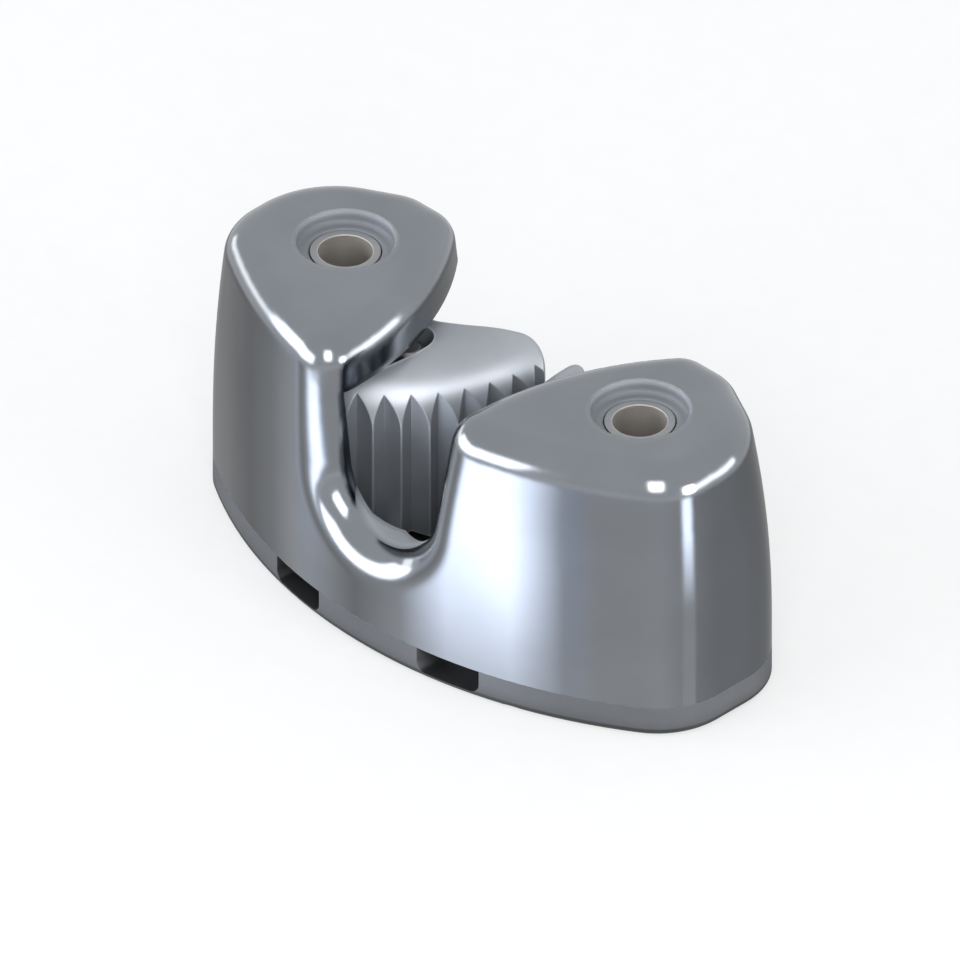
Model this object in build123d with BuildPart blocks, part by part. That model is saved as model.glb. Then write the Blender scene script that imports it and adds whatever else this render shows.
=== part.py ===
from build123d import *
import math
import os

# Jam cleat for ropes up to 12 mm. Lengths are in millimetres and angles in degrees.
# A polished cast housing stands on a moulded base. Under each of its two towers a toothed jaw turns
# about the tubular pivot through which the mounting screw passes. The rope enters through the flared
# mouth in the front wall and leaves between the jaws at the rear. A load towards the front turns the
# jaws shut; a pull up and to the rear opens them against their springs.
#
# The origin is midway between the two screw axes, on the face that meets the deck.
# +X runs to the right along the screw line, -Y is the loaded front, and +Z points up.

# Plan of the housing and the base
screw_spacing = 38.0
half_length = 31.0
front_y = -16.5
front_rise = 10.555
rear_y = 11.95
rear_slope = 27.6
rear_slope_from_end = 3.1
rear_slope_y = 8.2
front_corner_radius = 7.9
end_corner_radius = 8.0
end_corner_growth = 2.0
rear_lean = 1.25
rear_corner_radius = 6.0

# Heights
base_height = 3.0
total_height = 28.0
cap_thickness = 5.0
crown_start = 7.0
crown_depth = 1.35
crown_steps = 3

# Housing walls and edges
wall = 2.6
mouth_wall = 4.2
mouth_wall_half = 10.5
edge_radius = 3.0
mouth_lip_radius = 3.4
tower_corner_radius = 3.6

# Slot between the towers and the U-shaped mouth below it
slot_draft = 6.3
mouth_radius = 6.0
mouth_centre_drop = 11.5
mouth_tongue_half = 3.2
mouth_tongue_depth = 1.1
slot_side_radius = 32.5
slot_side_y = -11.0
slot_side_sweep = 52.0
rear_opening_half = 20.3

# Recess round each pivot ring
recess_radius = 4.55
recess_depth = 1.4
recess_lip = 0.25
ring_gap = 0.12

# Pivot tube and its foot
tube_outer_radius = 3.26
tube_inner_radius = 2.54
ring_stand = 0.05
foot_radius = 5.0
foot_height = 1.0
fit_gap = 0.03

# Bearing sleeve, washers and spring
sleeve_outer_radius = 4.5
running_gap = 0.05
washer_outer_radius = 7.2
upper_washer_radius = 6.0
washer_thickness = 0.8
boss_height = 3.4
boss_radius = 7.4
end_gap = 0.05
spring_wire = 0.8
spring_radius = 5.2
spring_turns = 2.75
spring_wire_side_count = 6
spring_pitch = 1.0
spring_pocket_radius = 6.2
spring_pocket_depth = 3.8
spring_leg = 2.0
spring_leg_radius = 0.42
leg_hole_radius = 0.55
spring_leg_seat = 1.2

# Jaw plan, seen from above for the left jaw, with its pivot at the origin of these values
cam_boss_radius = 7.5
jaw_clearance = 0.15
face_centre_y = 7.75
face_radius = 20.0
front_end_angle = -62.0
back_centre_x = -4.98
back_low_y = -0.55
back_radius = 27.92
tip_radius = 2.3
front_tip_chamfer = 1.2
back_blend_radius = 2.0
cam_edge_radius = 0.7
cam_top_gap = 0.2
shoulder_radius = 6.0
shoulder_start = -120.0
shoulder_sweep = 150.0

# Teeth
tooth_count = 8
tooth_depth = 1.1
last_groove_angle = -3.3
tooth_pitch = 2.63
steep_flank = 0.85
long_flank = 1.50

# Travel stop: a post in an arc slot round the pivot
stop_circle = 9.2
stop_pin_radius = 1.3
stop_slot_half_width = 2.0
stop_pin_angle = -6.0
slot_near_angle = -3.5
slot_end_margin = 1.0
cam_travel = 34.0
stop_pin_drop = 1.0
stop_pin_chamfer = 0.3
stop_pin_seat = 0.5
stop_boss_radius = 2.5

# Base plate
base_floor = 2.2
rim_width = 3.4
base_edge_chamfer = 0.35
window_inner_x = 6.3
window_outer_x = 13.0
window_sill = 0.5
window_corner_radius = 1.0
window_depth = 6.0

# Screws that hold the base to the housing
screw_places = [(15.5, -11.9), (half_length - 3.8, -5.6), (half_length - 3.7, 5.2)]
screw_radius = 1.0
screw_gap = 0.05
screw_head_radius = 1.9
screw_head_height = 1.1
screw_length = 9.0
screw_boss_radius = 1.9
screw_boss_height = 11.0
screw_recess = 0.3
screw_slot_width = 0.5
screw_slot_depth = 0.6

pivot_x = screw_spacing / 2
front_radius = (half_length**2 + front_rise**2) / (2 * front_rise)
front_centre_y = front_y + front_radius
rear_slope_x = half_length - rear_slope_from_end
cap_underside = total_height - cap_thickness
mouth_centre_z = total_height - mouth_centre_drop
face_centre_x = pivot_x - jaw_clearance - face_radius
back_centre_y = back_radius + back_low_y
lower_washer_top = boss_height + washer_thickness
cam_bottom = lower_washer_top + end_gap
upper_washer_bottom = cap_underside - washer_thickness
cam_top = upper_washer_bottom - cam_top_gap
stop_pin_top = cam_top - stop_pin_drop
recess_floor = total_height - recess_depth
ring_top = recess_floor + ring_stand
cut_margin = 5.0
on_base = (Align.CENTER, Align.CENTER, Align.MIN)

draft = math.radians(slot_draft)
mouth_tangent_x = mouth_radius * math.cos(draft)
mouth_tangent_z = mouth_centre_z - mouth_radius * math.sin(draft)
mouth_bottom_z = mouth_centre_z - mouth_radius
slot_top_half_width = mouth_tangent_x + (total_height - mouth_tangent_z) * math.tan(draft)
slot_low_half_width = slot_top_half_width - (total_height - cap_underside) * math.tan(draft)
crown_rise = (total_height - crown_start) / crown_steps
crown_heights = [base_height] + [crown_start + step * crown_rise for step in range(crown_steps + 1)]

pin_angle = math.radians(stop_pin_angle)
stop_pin_x = pivot_x - stop_circle * math.cos(pin_angle)
stop_pin_y = stop_circle * math.sin(pin_angle)
spring_bottom = lower_washer_top + spring_wire / 2 + end_gap
spring_top = spring_bottom + spring_turns * spring_pitch
spring_leg_x = pivot_x - spring_radius


def outline_points(inset, rear_inset):
    """Corners of the plan outline, moved inwards by inset, and by rear_inset at the rear."""
    half = half_length - inset
    radius = front_radius - inset
    corner_y = front_centre_y - math.sqrt(radius**2 - half**2)
    slope = math.tan(math.radians(rear_slope))
    line_y = rear_slope_y - rear_inset / math.cos(math.radians(rear_slope))
    end_y = line_y - (half - rear_slope_x) * slope
    rear = rear_y - rear_inset
    rear_x = rear_slope_x - (rear - line_y) / slope
    return (half, corner_y), (half, end_y), (rear_x, rear)


def corner_pair(sketch, place):
    """The vertices of a sketch at a place and at its mirror image."""
    return [
        vertex
        for vertex in sketch.vertices()
        if abs(abs(vertex.X) - place[0]) < 0.01 and abs(vertex.Y - place[1]) < 0.01
    ]


def draw_outline(sketch, inset, growth=-1.0, lean=1.0):
    """Draw the plan of the housing or base. The end corners grow by growth times the inset."""
    front, end, rear = outline_points(inset, lean * inset)
    with BuildLine() as plan:
        ThreePointArc((-front[0], front[1]), (0, front_y + inset), front)
        Polyline(front, end, rear, (-rear[0], rear[1]), (-end[0], end[1]), (-front[0], front[1]))
    make_face(plan.edges())
    fillet(corner_pair(sketch, front), front_corner_radius - inset)
    fillet(corner_pair(sketch, end), end_corner_radius + growth * inset)
    fillet(corner_pair(sketch, rear), rear_corner_radius - inset)


def crown_inset(z):
    """How far the crowned wall leans in at a height."""
    rise = max(0.0, z - crown_start) / (total_height - crown_start)
    return crown_depth * rise**2


def draw_slot_plan(half_width):
    """Plan of the space between the tower caps, which widens towards the rear."""
    centre_x = half_width + slot_side_radius
    sweep = math.radians(slot_side_sweep)
    rear_x = centre_x - slot_side_radius * math.cos(sweep)
    end_y = slot_side_y + slot_side_radius * math.sin(sweep)
    middle_x = centre_x - slot_side_radius * math.cos(sweep / 2)
    middle_y = slot_side_y + slot_side_radius * math.sin(sweep / 2)
    with BuildLine() as plan:
        Line((-half_width, slot_side_y), (half_width, slot_side_y))
        ThreePointArc((half_width, slot_side_y), (middle_x, middle_y), (rear_x, end_y))
        Line((rear_x, end_y), (-rear_x, end_y))
        ThreePointArc((-rear_x, end_y), (-middle_x, middle_y), (-half_width, slot_side_y))
    make_face(plan.edges())


def both_sides(places):
    """Places on the right and their mirror images on the left."""
    return [(x * side, y) for x, y in places for side in (1, -1)]


# Housing: the crowned outer form, opened by the slot and the mouth, then hollowed
with BuildPart() as housing:
    for height in crown_heights:
        with BuildSketch(Plane.XY.offset(height)) as crown_section:
            draw_outline(crown_section, crown_inset(height), end_corner_growth, rear_lean)
    loft()

    # Slot between the towers, drafted like the mouth
    with BuildSketch(Plane.XY.offset(cap_underside)):
        draw_slot_plan(slot_low_half_width)
    with BuildSketch(Plane.XY.offset(total_height)):
        draw_slot_plan(slot_top_half_width)
    loft(mode=Mode.SUBTRACT)

    # Mouth through the front wall
    with BuildSketch(Plane.XZ.offset(-slot_side_y)):
        with BuildLine():
            ThreePointArc(
                (-mouth_tangent_x, mouth_tangent_z),
                (0, mouth_centre_z - mouth_radius),
                (mouth_tangent_x, mouth_tangent_z),
            )
            Polyline(
                (mouth_tangent_x, mouth_tangent_z),
                (slot_top_half_width, total_height),
                (-slot_top_half_width, total_height),
                (-mouth_tangent_x, mouth_tangent_z),
            )
        make_face()
    extrude(amount=slot_side_y - front_y + cut_margin, mode=Mode.SUBTRACT)

    # Rear corners of the towers, the flared lip of the mouth and the soft top edges
    fillet(
        housing.edges().filter_by(
            lambda e: abs(e.bounding_box().size.Z - (total_height - cap_underside)) < 0.5
            and e.center().Y > rear_y / 2
            and abs(e.center().X) < pivot_x
        ),
        tower_corner_radius,
    )
    front_edges = housing.edges().filter_by(lambda e: e.center().Y < front_y + 0.1)
    fillet(
        front_edges.filter_by(lambda e: abs(e.bounding_box().min.Z - mouth_bottom_z) < 0.1),
        mouth_lip_radius,
    )
    fillet(housing.faces().filter_by(Plane.XY).sort_by(Axis.Z)[-2:].edges(), edge_radius)

    # Room for the jaws, open at the bottom and at the rear, with a low tongue left inside the mouth
    with BuildSketch(Plane.XY.offset(base_height)) as room:
        draw_outline(room, wall)
        with Locations((0, rear_y)):
            Rectangle(2 * rear_opening_half, 2 * cut_margin)
        with Locations((0, front_y)):
            Rectangle(2 * mouth_wall_half, 2 * mouth_wall, mode=Mode.SUBTRACT)
        with BuildLine():
            tongue_y = front_y + mouth_wall
            Polyline(
                (-mouth_tongue_half, tongue_y),
                (0, tongue_y + mouth_tongue_depth),
                (mouth_tongue_half, tongue_y),
                close=True,
            )
        make_face(mode=Mode.SUBTRACT)
    extrude(amount=cap_underside - base_height, mode=Mode.SUBTRACT)

    # Bores for the pivot tubes, in a recess with a soft lip
    for x in (-pivot_x, pivot_x):
        with BuildSketch(Plane((x, 0, 0), x_dir=(1, 0, 0), z_dir=(0, -1, 0))):
            with BuildLine():
                lip_middle = recess_lip * (1 - math.sqrt(0.5))
                Polyline(
                    (0, cap_underside),
                    (tube_outer_radius + ring_gap, cap_underside),
                    (tube_outer_radius + ring_gap, recess_floor),
                    (recess_radius, recess_floor),
                    (recess_radius, total_height - recess_lip),
                )
                ThreePointArc(
                    (recess_radius, total_height - recess_lip),
                    (recess_radius + lip_middle, total_height - lip_middle),
                    (recess_radius + recess_lip, total_height),
                )
                Polyline(
                    (recess_radius + recess_lip, total_height),
                    (recess_radius + recess_lip, total_height + cut_margin),
                    (0, total_height + cut_margin),
                    (0, cap_underside),
                )
            make_face()
        revolve(axis=Axis((x, 0, 0), (0, 0, 1)), mode=Mode.SUBTRACT)

    # Pillars for the screws that hold the base
    with Locations(*[(x, y, base_height) for x, y in both_sides(screw_places)]):
        Cylinder(screw_boss_radius, screw_boss_height, align=on_base)
        Cylinder(screw_radius + screw_gap, screw_length, align=on_base, mode=Mode.SUBTRACT)

housing.part.label = "housing"


# Base plate: a floor with a raised rim, pivot bosses and two drain windows at the front
with BuildPart() as base_plate:
    with BuildSketch() as foot_plan:
        draw_outline(foot_plan, 0)
    extrude(amount=base_height)
    chamfer(base_plate.faces().sort_by(Axis.Z)[0].edges(), base_edge_chamfer)
    with BuildSketch(Plane.XY.offset(base_floor)) as well:
        draw_outline(well, rim_width)
    extrude(amount=base_height, mode=Mode.SUBTRACT)
    with Locations(*[(x, 0, 0) for x in (-pivot_x, pivot_x)]):
        Cylinder(boss_radius, boss_height, align=on_base)
    with Locations(*[(x, stop_pin_y, 0) for x in (-stop_pin_x, stop_pin_x)]):
        Cylinder(stop_boss_radius, boss_height, align=on_base)

    # Drain windows, cut down from the top of the rim
    with BuildSketch(Plane.XZ.offset(-front_y - window_depth)):
        for side in (-1, 1):
            with Locations((side * (window_inner_x + window_outer_x) / 2, window_sill)):
                RectangleRounded(
                    window_outer_x - window_inner_x,
                    base_height - window_sill + cut_margin,
                    window_corner_radius,
                    align=(Align.CENTER, Align.MIN),
                )
    extrude(amount=2 * window_depth, mode=Mode.SUBTRACT)

    # Seats for the pivot tubes and for the stop pins, and holes for the screws
    with Locations(*[(x, 0, 0) for x in (-pivot_x, pivot_x)]):
        Cylinder(tube_outer_radius + fit_gap, boss_height, align=on_base, mode=Mode.SUBTRACT)
        Cylinder(foot_radius + fit_gap, foot_height + fit_gap, align=on_base, mode=Mode.SUBTRACT)
    with Locations(*[(x, stop_pin_y, stop_pin_seat) for x in (-stop_pin_x, stop_pin_x)]):
        Cylinder(stop_pin_radius + fit_gap, boss_height, align=on_base, mode=Mode.SUBTRACT)
    with Locations(*[(x, 0, boss_height - spring_leg_seat) for x in (-spring_leg_x, spring_leg_x)]):
        Cylinder(leg_hole_radius, boss_height, align=on_base, mode=Mode.SUBTRACT)
    with Locations(*[(x, y, 0) for x, y in both_sides(screw_places)]):
        Cylinder(screw_radius + screw_gap, base_height, align=on_base, mode=Mode.SUBTRACT)
        Cylinder(
            screw_head_radius + screw_gap,
            screw_recess + screw_head_height,
            align=on_base,
            mode=Mode.SUBTRACT,
        )

base_plate.part.label = "base_plate"


# Screws that hold the base, driven up from below
with BuildPart() as base_screws:
    with Locations(*[(x, y, screw_recess) for x, y in both_sides(screw_places)]):
        Cylinder(screw_head_radius, screw_head_height, align=on_base)
        Cylinder(screw_radius, screw_length, align=on_base)
        for turn in (0, 90):
            Box(
                2 * screw_radius,
                screw_slot_width,
                screw_slot_depth,
                rotation=(0, 0, turn),
                align=on_base,
                mode=Mode.SUBTRACT,
            )

base_screws.part.label = "base_screws"


def from_pivot(radius, angle):
    """A point of the left jaw's plan at a radius and an angle in degrees from its pivot."""
    return (radius * math.cos(math.radians(angle)), radius * math.sin(math.radians(angle)))


def on_face(radius, angle):
    """A point at a radius and an angle in degrees from the centre of the toothed face."""
    x, y = from_pivot(radius, angle)
    return (face_centre_x + x, face_centre_y + y)


def back_meets(centre_x, centre_y, radius):
    """The crossing of the jaw's hollow back with a circle, on the side of the tip."""
    apart_x = centre_x - back_centre_x
    apart_y = centre_y - back_centre_y
    apart = math.hypot(apart_x, apart_y)
    along = (apart**2 + back_radius**2 - radius**2) / (2 * apart)
    aside = math.sqrt(back_radius**2 - along**2)
    return (
        back_centre_x + (along * apart_x - aside * apart_y) / apart,
        back_centre_y + (along * apart_y + aside * apart_x) / apart,
    )


tip = back_meets(face_centre_x, face_centre_y, face_radius)
heel = back_meets(0, 0, cam_boss_radius)
back_middle_angle = (
    math.atan2(tip[1] - back_centre_y, tip[0] - back_centre_x)
    + math.atan2(heel[1] - back_centre_y, heel[0] - back_centre_x)
) / 2
back_middle = (
    back_centre_x + back_radius * math.cos(back_middle_angle),
    back_centre_y + back_radius * math.sin(back_middle_angle),
)
front_end = on_face(face_radius, front_end_angle)
front_reach = math.hypot(*front_end)
front_tangent_angle = math.degrees(
    math.atan2(front_end[1], front_end[0]) - math.acos(cam_boss_radius / front_reach)
)
front_tangent = from_pivot(cam_boss_radius, front_tangent_angle)
heel_angle = math.degrees(math.atan2(heel[1], heel[0]))
boss_middle = from_pivot(cam_boss_radius, (heel_angle + 360 + front_tangent_angle) / 2)
tip_angle = math.degrees(math.atan2(tip[1] - face_centre_y, tip[0] - face_centre_x))
tooth_step = math.degrees(tooth_pitch / face_radius)
slot_far_angle = stop_pin_angle - cam_travel - slot_end_margin

# Jaw: an eccentric toothed face with a deep rounded shoulder, a boss on the pivot and a stop slot
with BuildPart() as left_cam:
    with BuildSketch(Plane((-pivot_x, 0, cam_bottom))) as cam_plan:
        with BuildLine():
            face_middle = on_face(face_radius, (front_end_angle + tip_angle) / 2)
            ThreePointArc(front_end, face_middle, tip)
            ThreePointArc(tip, back_middle, heel)
            ThreePointArc(heel, boss_middle, front_tangent)
            Line(front_tangent, front_end)
        make_face()
        corners = cam_plan.vertices()
        fillet(corners.sort_by_distance(heel)[0], back_blend_radius)
        fillet(cam_plan.vertices().sort_by_distance(tip)[0], tip_radius)
        chamfer(cam_plan.vertices().sort_by_distance(front_end)[0], front_tip_chamfer)
    extrude(amount=cam_top - cam_bottom)

    # Rounded shoulder above the teeth
    face_axis = Axis((face_centre_x - pivot_x, face_centre_y, 0), (0, 0, 1))
    shoulder_plane = Plane(
        origin=(face_centre_x - pivot_x, face_centre_y, cam_top - shoulder_radius),
        x_dir=(math.cos(math.radians(shoulder_start)), math.sin(math.radians(shoulder_start)), 0),
        z_dir=(math.sin(math.radians(shoulder_start)), -math.cos(math.radians(shoulder_start)), 0),
    )
    with BuildSketch(shoulder_plane):
        with BuildLine():
            shoulder_middle = shoulder_radius * math.sqrt(0.5)
            flat_radius = face_radius - shoulder_radius
            ThreePointArc(
                (face_radius, 0),
                (flat_radius + shoulder_middle, shoulder_middle),
                (flat_radius, shoulder_radius),
            )
            Polyline(
                (flat_radius, shoulder_radius),
                (flat_radius, shoulder_radius + cut_margin),
                (face_radius + cut_margin, shoulder_radius + cut_margin),
                (face_radius + cut_margin, 0),
                (face_radius, 0),
            )
        make_face()
    revolve(axis=face_axis, revolution_arc=shoulder_sweep, mode=Mode.SUBTRACT)

    # Soft edge along the back, the tip and the boss
    fillet(
        left_cam.edges().filter_by(
            lambda e: e.center().Z > cam_top - shoulder_radius / 2 and e.center().Y > tip[1] / 2
        ),
        cam_edge_radius,
    )

    # Teeth: each groove has a steep flank towards the load and a long one behind it
    with BuildSketch(Plane((-pivot_x, 0, cam_bottom))):
        for groove in range(tooth_count):
            angle = last_groove_angle - groove * tooth_step
            root = face_radius - tooth_depth
            steep = math.degrees(steep_flank / face_radius)
            long = math.degrees(long_flank / face_radius)
            with BuildLine():
                Polyline(
                    on_face(root, angle),
                    on_face(face_radius + tooth_depth, angle + 2 * long),
                    on_face(face_radius + tooth_depth, angle - 2 * steep),
                    close=True,
                )
            make_face()
    extrude(amount=cam_top - cam_bottom, mode=Mode.SUBTRACT)

    # Bore for the sleeve, pocket and leg hole for the spring, and the slot round the stop pin
    with Locations((-pivot_x, 0, cam_bottom)):
        Cylinder(
            sleeve_outer_radius + running_gap,
            cam_top - cam_bottom,
            align=on_base,
            mode=Mode.SUBTRACT,
        )
        Cylinder(spring_pocket_radius, spring_pocket_depth, align=on_base, mode=Mode.SUBTRACT)
    with Locations((-pivot_x, -spring_radius, cam_bottom + spring_pocket_depth)):
        Cylinder(leg_hole_radius, spring_leg, align=on_base, mode=Mode.SUBTRACT)
    with BuildSketch(Plane((-pivot_x, 0, cam_bottom))):
        slot_sweep = slot_near_angle - slot_far_angle
        outer = stop_circle + stop_slot_half_width
        inner = stop_circle - stop_slot_half_width
        with BuildLine():
            CenterArc((0, 0), outer, slot_far_angle, slot_sweep)
            CenterArc(from_pivot(stop_circle, slot_near_angle), stop_slot_half_width, slot_near_angle, 180)
            CenterArc((0, 0), inner, slot_far_angle, slot_sweep)
            CenterArc(from_pivot(stop_circle, slot_far_angle), stop_slot_half_width, slot_far_angle, -180)
        make_face()
    extrude(amount=cam_top - cam_bottom, mode=Mode.SUBTRACT)

left_cam.part.label = "left_cam"

with BuildPart() as right_cam:
    mirror(left_cam.part, about=Plane.YZ)

right_cam.part.label = "right_cam"


# Pivot tube: a turned tube with a foot, whose top shows as a ring in the tower
with BuildPart() as left_pivot_tube:
    with Locations((-pivot_x, 0, 0)):
        Cylinder(tube_outer_radius, ring_top, align=on_base)
        Cylinder(foot_radius, foot_height, align=on_base)
        Cylinder(tube_inner_radius, ring_top, align=on_base, mode=Mode.SUBTRACT)

left_pivot_tube.part.label = "left_pivot_tube"

with BuildPart() as right_pivot_tube:
    mirror(left_pivot_tube.part, about=Plane.YZ)

right_pivot_tube.part.label = "right_pivot_tube"

# Bearing sleeve between tube and jaw
with BuildPart() as left_bearing_sleeve:
    with Locations((-pivot_x, 0, lower_washer_top)):
        sleeve_height = upper_washer_bottom - lower_washer_top - end_gap
        Cylinder(sleeve_outer_radius, sleeve_height, align=on_base)
        Cylinder(tube_outer_radius + fit_gap, sleeve_height, align=on_base, mode=Mode.SUBTRACT)

left_bearing_sleeve.part.label = "left_bearing_sleeve"

with BuildPart() as right_bearing_sleeve:
    mirror(left_bearing_sleeve.part, about=Plane.YZ)

right_bearing_sleeve.part.label = "right_bearing_sleeve"

# Thrust washers under and over the jaw; the spring's lower leg passes through the lower one
with BuildPart() as left_lower_washer:
    with Locations((-pivot_x, 0, boss_height)):
        Cylinder(washer_outer_radius, washer_thickness, align=on_base)
        Cylinder(tube_outer_radius + fit_gap, washer_thickness, align=on_base, mode=Mode.SUBTRACT)
    with Locations((-spring_leg_x, 0, boss_height)):
        Cylinder(leg_hole_radius, washer_thickness, align=on_base, mode=Mode.SUBTRACT)

left_lower_washer.part.label = "left_lower_washer"

with BuildPart() as right_lower_washer:
    mirror(left_lower_washer.part, about=Plane.YZ)

right_lower_washer.part.label = "right_lower_washer"

with BuildPart() as left_upper_washer:
    with Locations((-pivot_x, 0, upper_washer_bottom)):
        Cylinder(upper_washer_radius, washer_thickness, align=on_base)
        Cylinder(tube_outer_radius + fit_gap, washer_thickness, align=on_base, mode=Mode.SUBTRACT)

left_upper_washer.part.label = "left_upper_washer"

with BuildPart() as right_upper_washer:
    mirror(left_upper_washer.part, about=Plane.YZ)

right_upper_washer.part.label = "right_upper_washer"

# Torsion spring: a coil round the sleeve, one leg down into the base and one up into the jaw
with BuildPart() as left_spring:
    with BuildLine() as coil:
        Helix(
            spring_pitch,
            spring_turns * spring_pitch,
            spring_radius,
            center=(-pivot_x, 0, spring_bottom),
        )
    with BuildSketch(Plane(origin=coil.line @ 0, z_dir=coil.line % 0)):
        RegularPolygon(spring_wire / 2, spring_wire_side_count)
    sweep(is_frenet=True)
    leg_drop = spring_bottom - boss_height + spring_leg_seat - end_gap
    with Locations((-spring_leg_x, 0, spring_bottom - leg_drop)):
        Cylinder(spring_leg_radius, leg_drop + spring_wire / 3, align=on_base)
    with Locations((-pivot_x, -spring_radius, spring_top - spring_wire / 3)):
        Cylinder(spring_leg_radius, spring_leg + spring_wire / 3, align=on_base)

left_spring.part.label = "left_spring"

with BuildPart() as right_spring:
    mirror(left_spring.part, about=Plane.YZ)

right_spring.part.label = "right_spring"

# Stop pin: a dowel in the base that stands in the jaw's slot
with BuildPart() as left_stop_pin:
    with Locations((-stop_pin_x, stop_pin_y, stop_pin_seat)):
        Cylinder(stop_pin_radius, stop_pin_top - stop_pin_seat, align=on_base)
    chamfer(left_stop_pin.faces().sort_by(Axis.Z)[-1].edges(), stop_pin_chamfer)

left_stop_pin.part.label = "left_stop_pin"

with BuildPart() as right_stop_pin:
    mirror(left_stop_pin.part, about=Plane.YZ)

right_stop_pin.part.label = "right_stop_pin"


os.makedirs("parts", exist_ok=True)
export_step(housing.part, "parts/housing.step")
export_step(base_plate.part, "parts/base_plate.step")
export_step(base_screws.part, "parts/base_screws.step")
export_step(left_cam.part, "parts/left_cam.step")
export_step(right_cam.part, "parts/right_cam.step")
export_step(left_pivot_tube.part, "parts/left_pivot_tube.step")
export_step(right_pivot_tube.part, "parts/right_pivot_tube.step")
export_step(left_bearing_sleeve.part, "parts/left_bearing_sleeve.step")
export_step(right_bearing_sleeve.part, "parts/right_bearing_sleeve.step")
export_step(left_lower_washer.part, "parts/left_lower_washer.step")
export_step(right_lower_washer.part, "parts/right_lower_washer.step")
export_step(left_upper_washer.part, "parts/left_upper_washer.step")
export_step(right_upper_washer.part, "parts/right_upper_washer.step")
export_step(left_spring.part, "parts/left_spring.step")
export_step(right_spring.part, "parts/right_spring.step")
export_step(left_stop_pin.part, "parts/left_stop_pin.step")
export_step(right_stop_pin.part, "parts/right_stop_pin.step")
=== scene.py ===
"""Looks of the jam cleat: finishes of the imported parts, springs and screws, a pale studio and the camera."""

import math

import bpy
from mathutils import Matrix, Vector


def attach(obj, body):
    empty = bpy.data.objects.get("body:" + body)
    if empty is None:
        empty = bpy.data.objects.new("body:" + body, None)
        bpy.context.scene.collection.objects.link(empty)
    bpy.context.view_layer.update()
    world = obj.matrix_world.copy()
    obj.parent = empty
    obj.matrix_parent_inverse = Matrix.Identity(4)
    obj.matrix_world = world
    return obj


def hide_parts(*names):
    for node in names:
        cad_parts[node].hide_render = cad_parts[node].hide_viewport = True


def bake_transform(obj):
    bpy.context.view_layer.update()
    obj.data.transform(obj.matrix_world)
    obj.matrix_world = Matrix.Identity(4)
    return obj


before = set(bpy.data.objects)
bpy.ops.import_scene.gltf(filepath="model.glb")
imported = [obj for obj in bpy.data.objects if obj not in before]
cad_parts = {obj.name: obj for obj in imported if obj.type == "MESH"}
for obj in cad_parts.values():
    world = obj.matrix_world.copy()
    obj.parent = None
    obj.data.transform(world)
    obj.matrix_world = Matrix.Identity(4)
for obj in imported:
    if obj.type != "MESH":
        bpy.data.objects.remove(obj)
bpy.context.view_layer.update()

MM = 0.001

# Distance of each tower's axis from the middle, and radii round it: where the bore's painted paler colour
# fades out, and where the matt finish of the recess does
TOWER_X = 19.0 * MM
BORE_FADE = (2.56 * MM, 2.62 * MM)
RECESS_FADE = (4.6 * MM, 5.0 * MM)

# Where the rope runs over the floor of the mouth, and how far each way: there the casting is matt, and painted
# paler, painted light that lifts the shade in the mouth
ROPE_PLACE = (0.0, -11.4 * MM, 11.0 * MM)
ROPE_REACH = (7.0 * MM, 2.6 * MM, 5.0 * MM)

# The floor lies just under the base, and the graded card just over the floor
FLOOR_HALF_WIDTH = 1.2
FLOOR_Z = -0.05 * MM
CARD_Z = -0.03 * MM

# The photograph shows this much from side to side, and has this point in its middle
PICTURE_WIDTH = 87.6 * MM
PICTURE_MIDDLE = (-1.355 * MM, -0.271 * MM, 10.0 * MM)


# Small helpers


def linear(code):
    """An sRGB hex colour as the linear RGBA that Blender's shaders take."""
    parts = [int(code[i : i + 2], 16) / 255 for i in (1, 3, 5)]
    return [p / 12.92 if p <= 0.04045 else ((p + 0.055) / 1.055) ** 2.4 for p in parts] + [1.0]


def add(tree, kind, settings=None, links=None):
    """Add a node. Settings are its properties, input values or colour stops; links feed its inputs."""
    node = tree.nodes.new(kind)
    for key, value in (settings or {}).items():
        if key == "stops":
            band = node.color_ramp
            while len(band.elements) < len(value):
                band.elements.new(0.5)
            for element, (place, code) in zip(band.elements, value):
                element.position = place
                element.color = linear(code)
        elif isinstance(key, str) and hasattr(node, key):
            setattr(node, key, value)
        else:
            node.inputs[key].default_value = value
    for key, source in (links or {}).items():
        tree.links.new(source, node.inputs[key])
    return node


def new_material(name):
    """An empty material with its Principled shader joined to the output."""
    material = bpy.data.materials.new(name)
    material.use_nodes = True
    tree = material.node_tree
    tree.nodes.clear()
    shader = add(tree, "ShaderNodeBsdfPrincipled")
    add(tree, "ShaderNodeOutputMaterial", links={"Surface": shader.outputs["BSDF"]})
    return material, tree, shader


def from_tower_axis(tree, place):
    """How far a place is from the axis of the nearer tower, seen from above."""
    spot = add(tree, "ShaderNodeSeparateXYZ", links={"Vector": place})
    side = add(tree, "ShaderNodeMath", {"operation": "ABSOLUTE"}, {0: spot.outputs["X"]})
    across = add(tree, "ShaderNodeMath", {"operation": "SUBTRACT", 1: TOWER_X}, {0: side.outputs["Value"]})
    plan = add(tree, "ShaderNodeCombineXYZ", links={"X": across.outputs["Value"], "Y": spot.outputs["Y"]})
    reach = add(tree, "ShaderNodeVectorMath", {"operation": "LENGTH"}, {0: plan.outputs["Vector"]})
    return reach.outputs["Value"]


# Finishes


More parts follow.
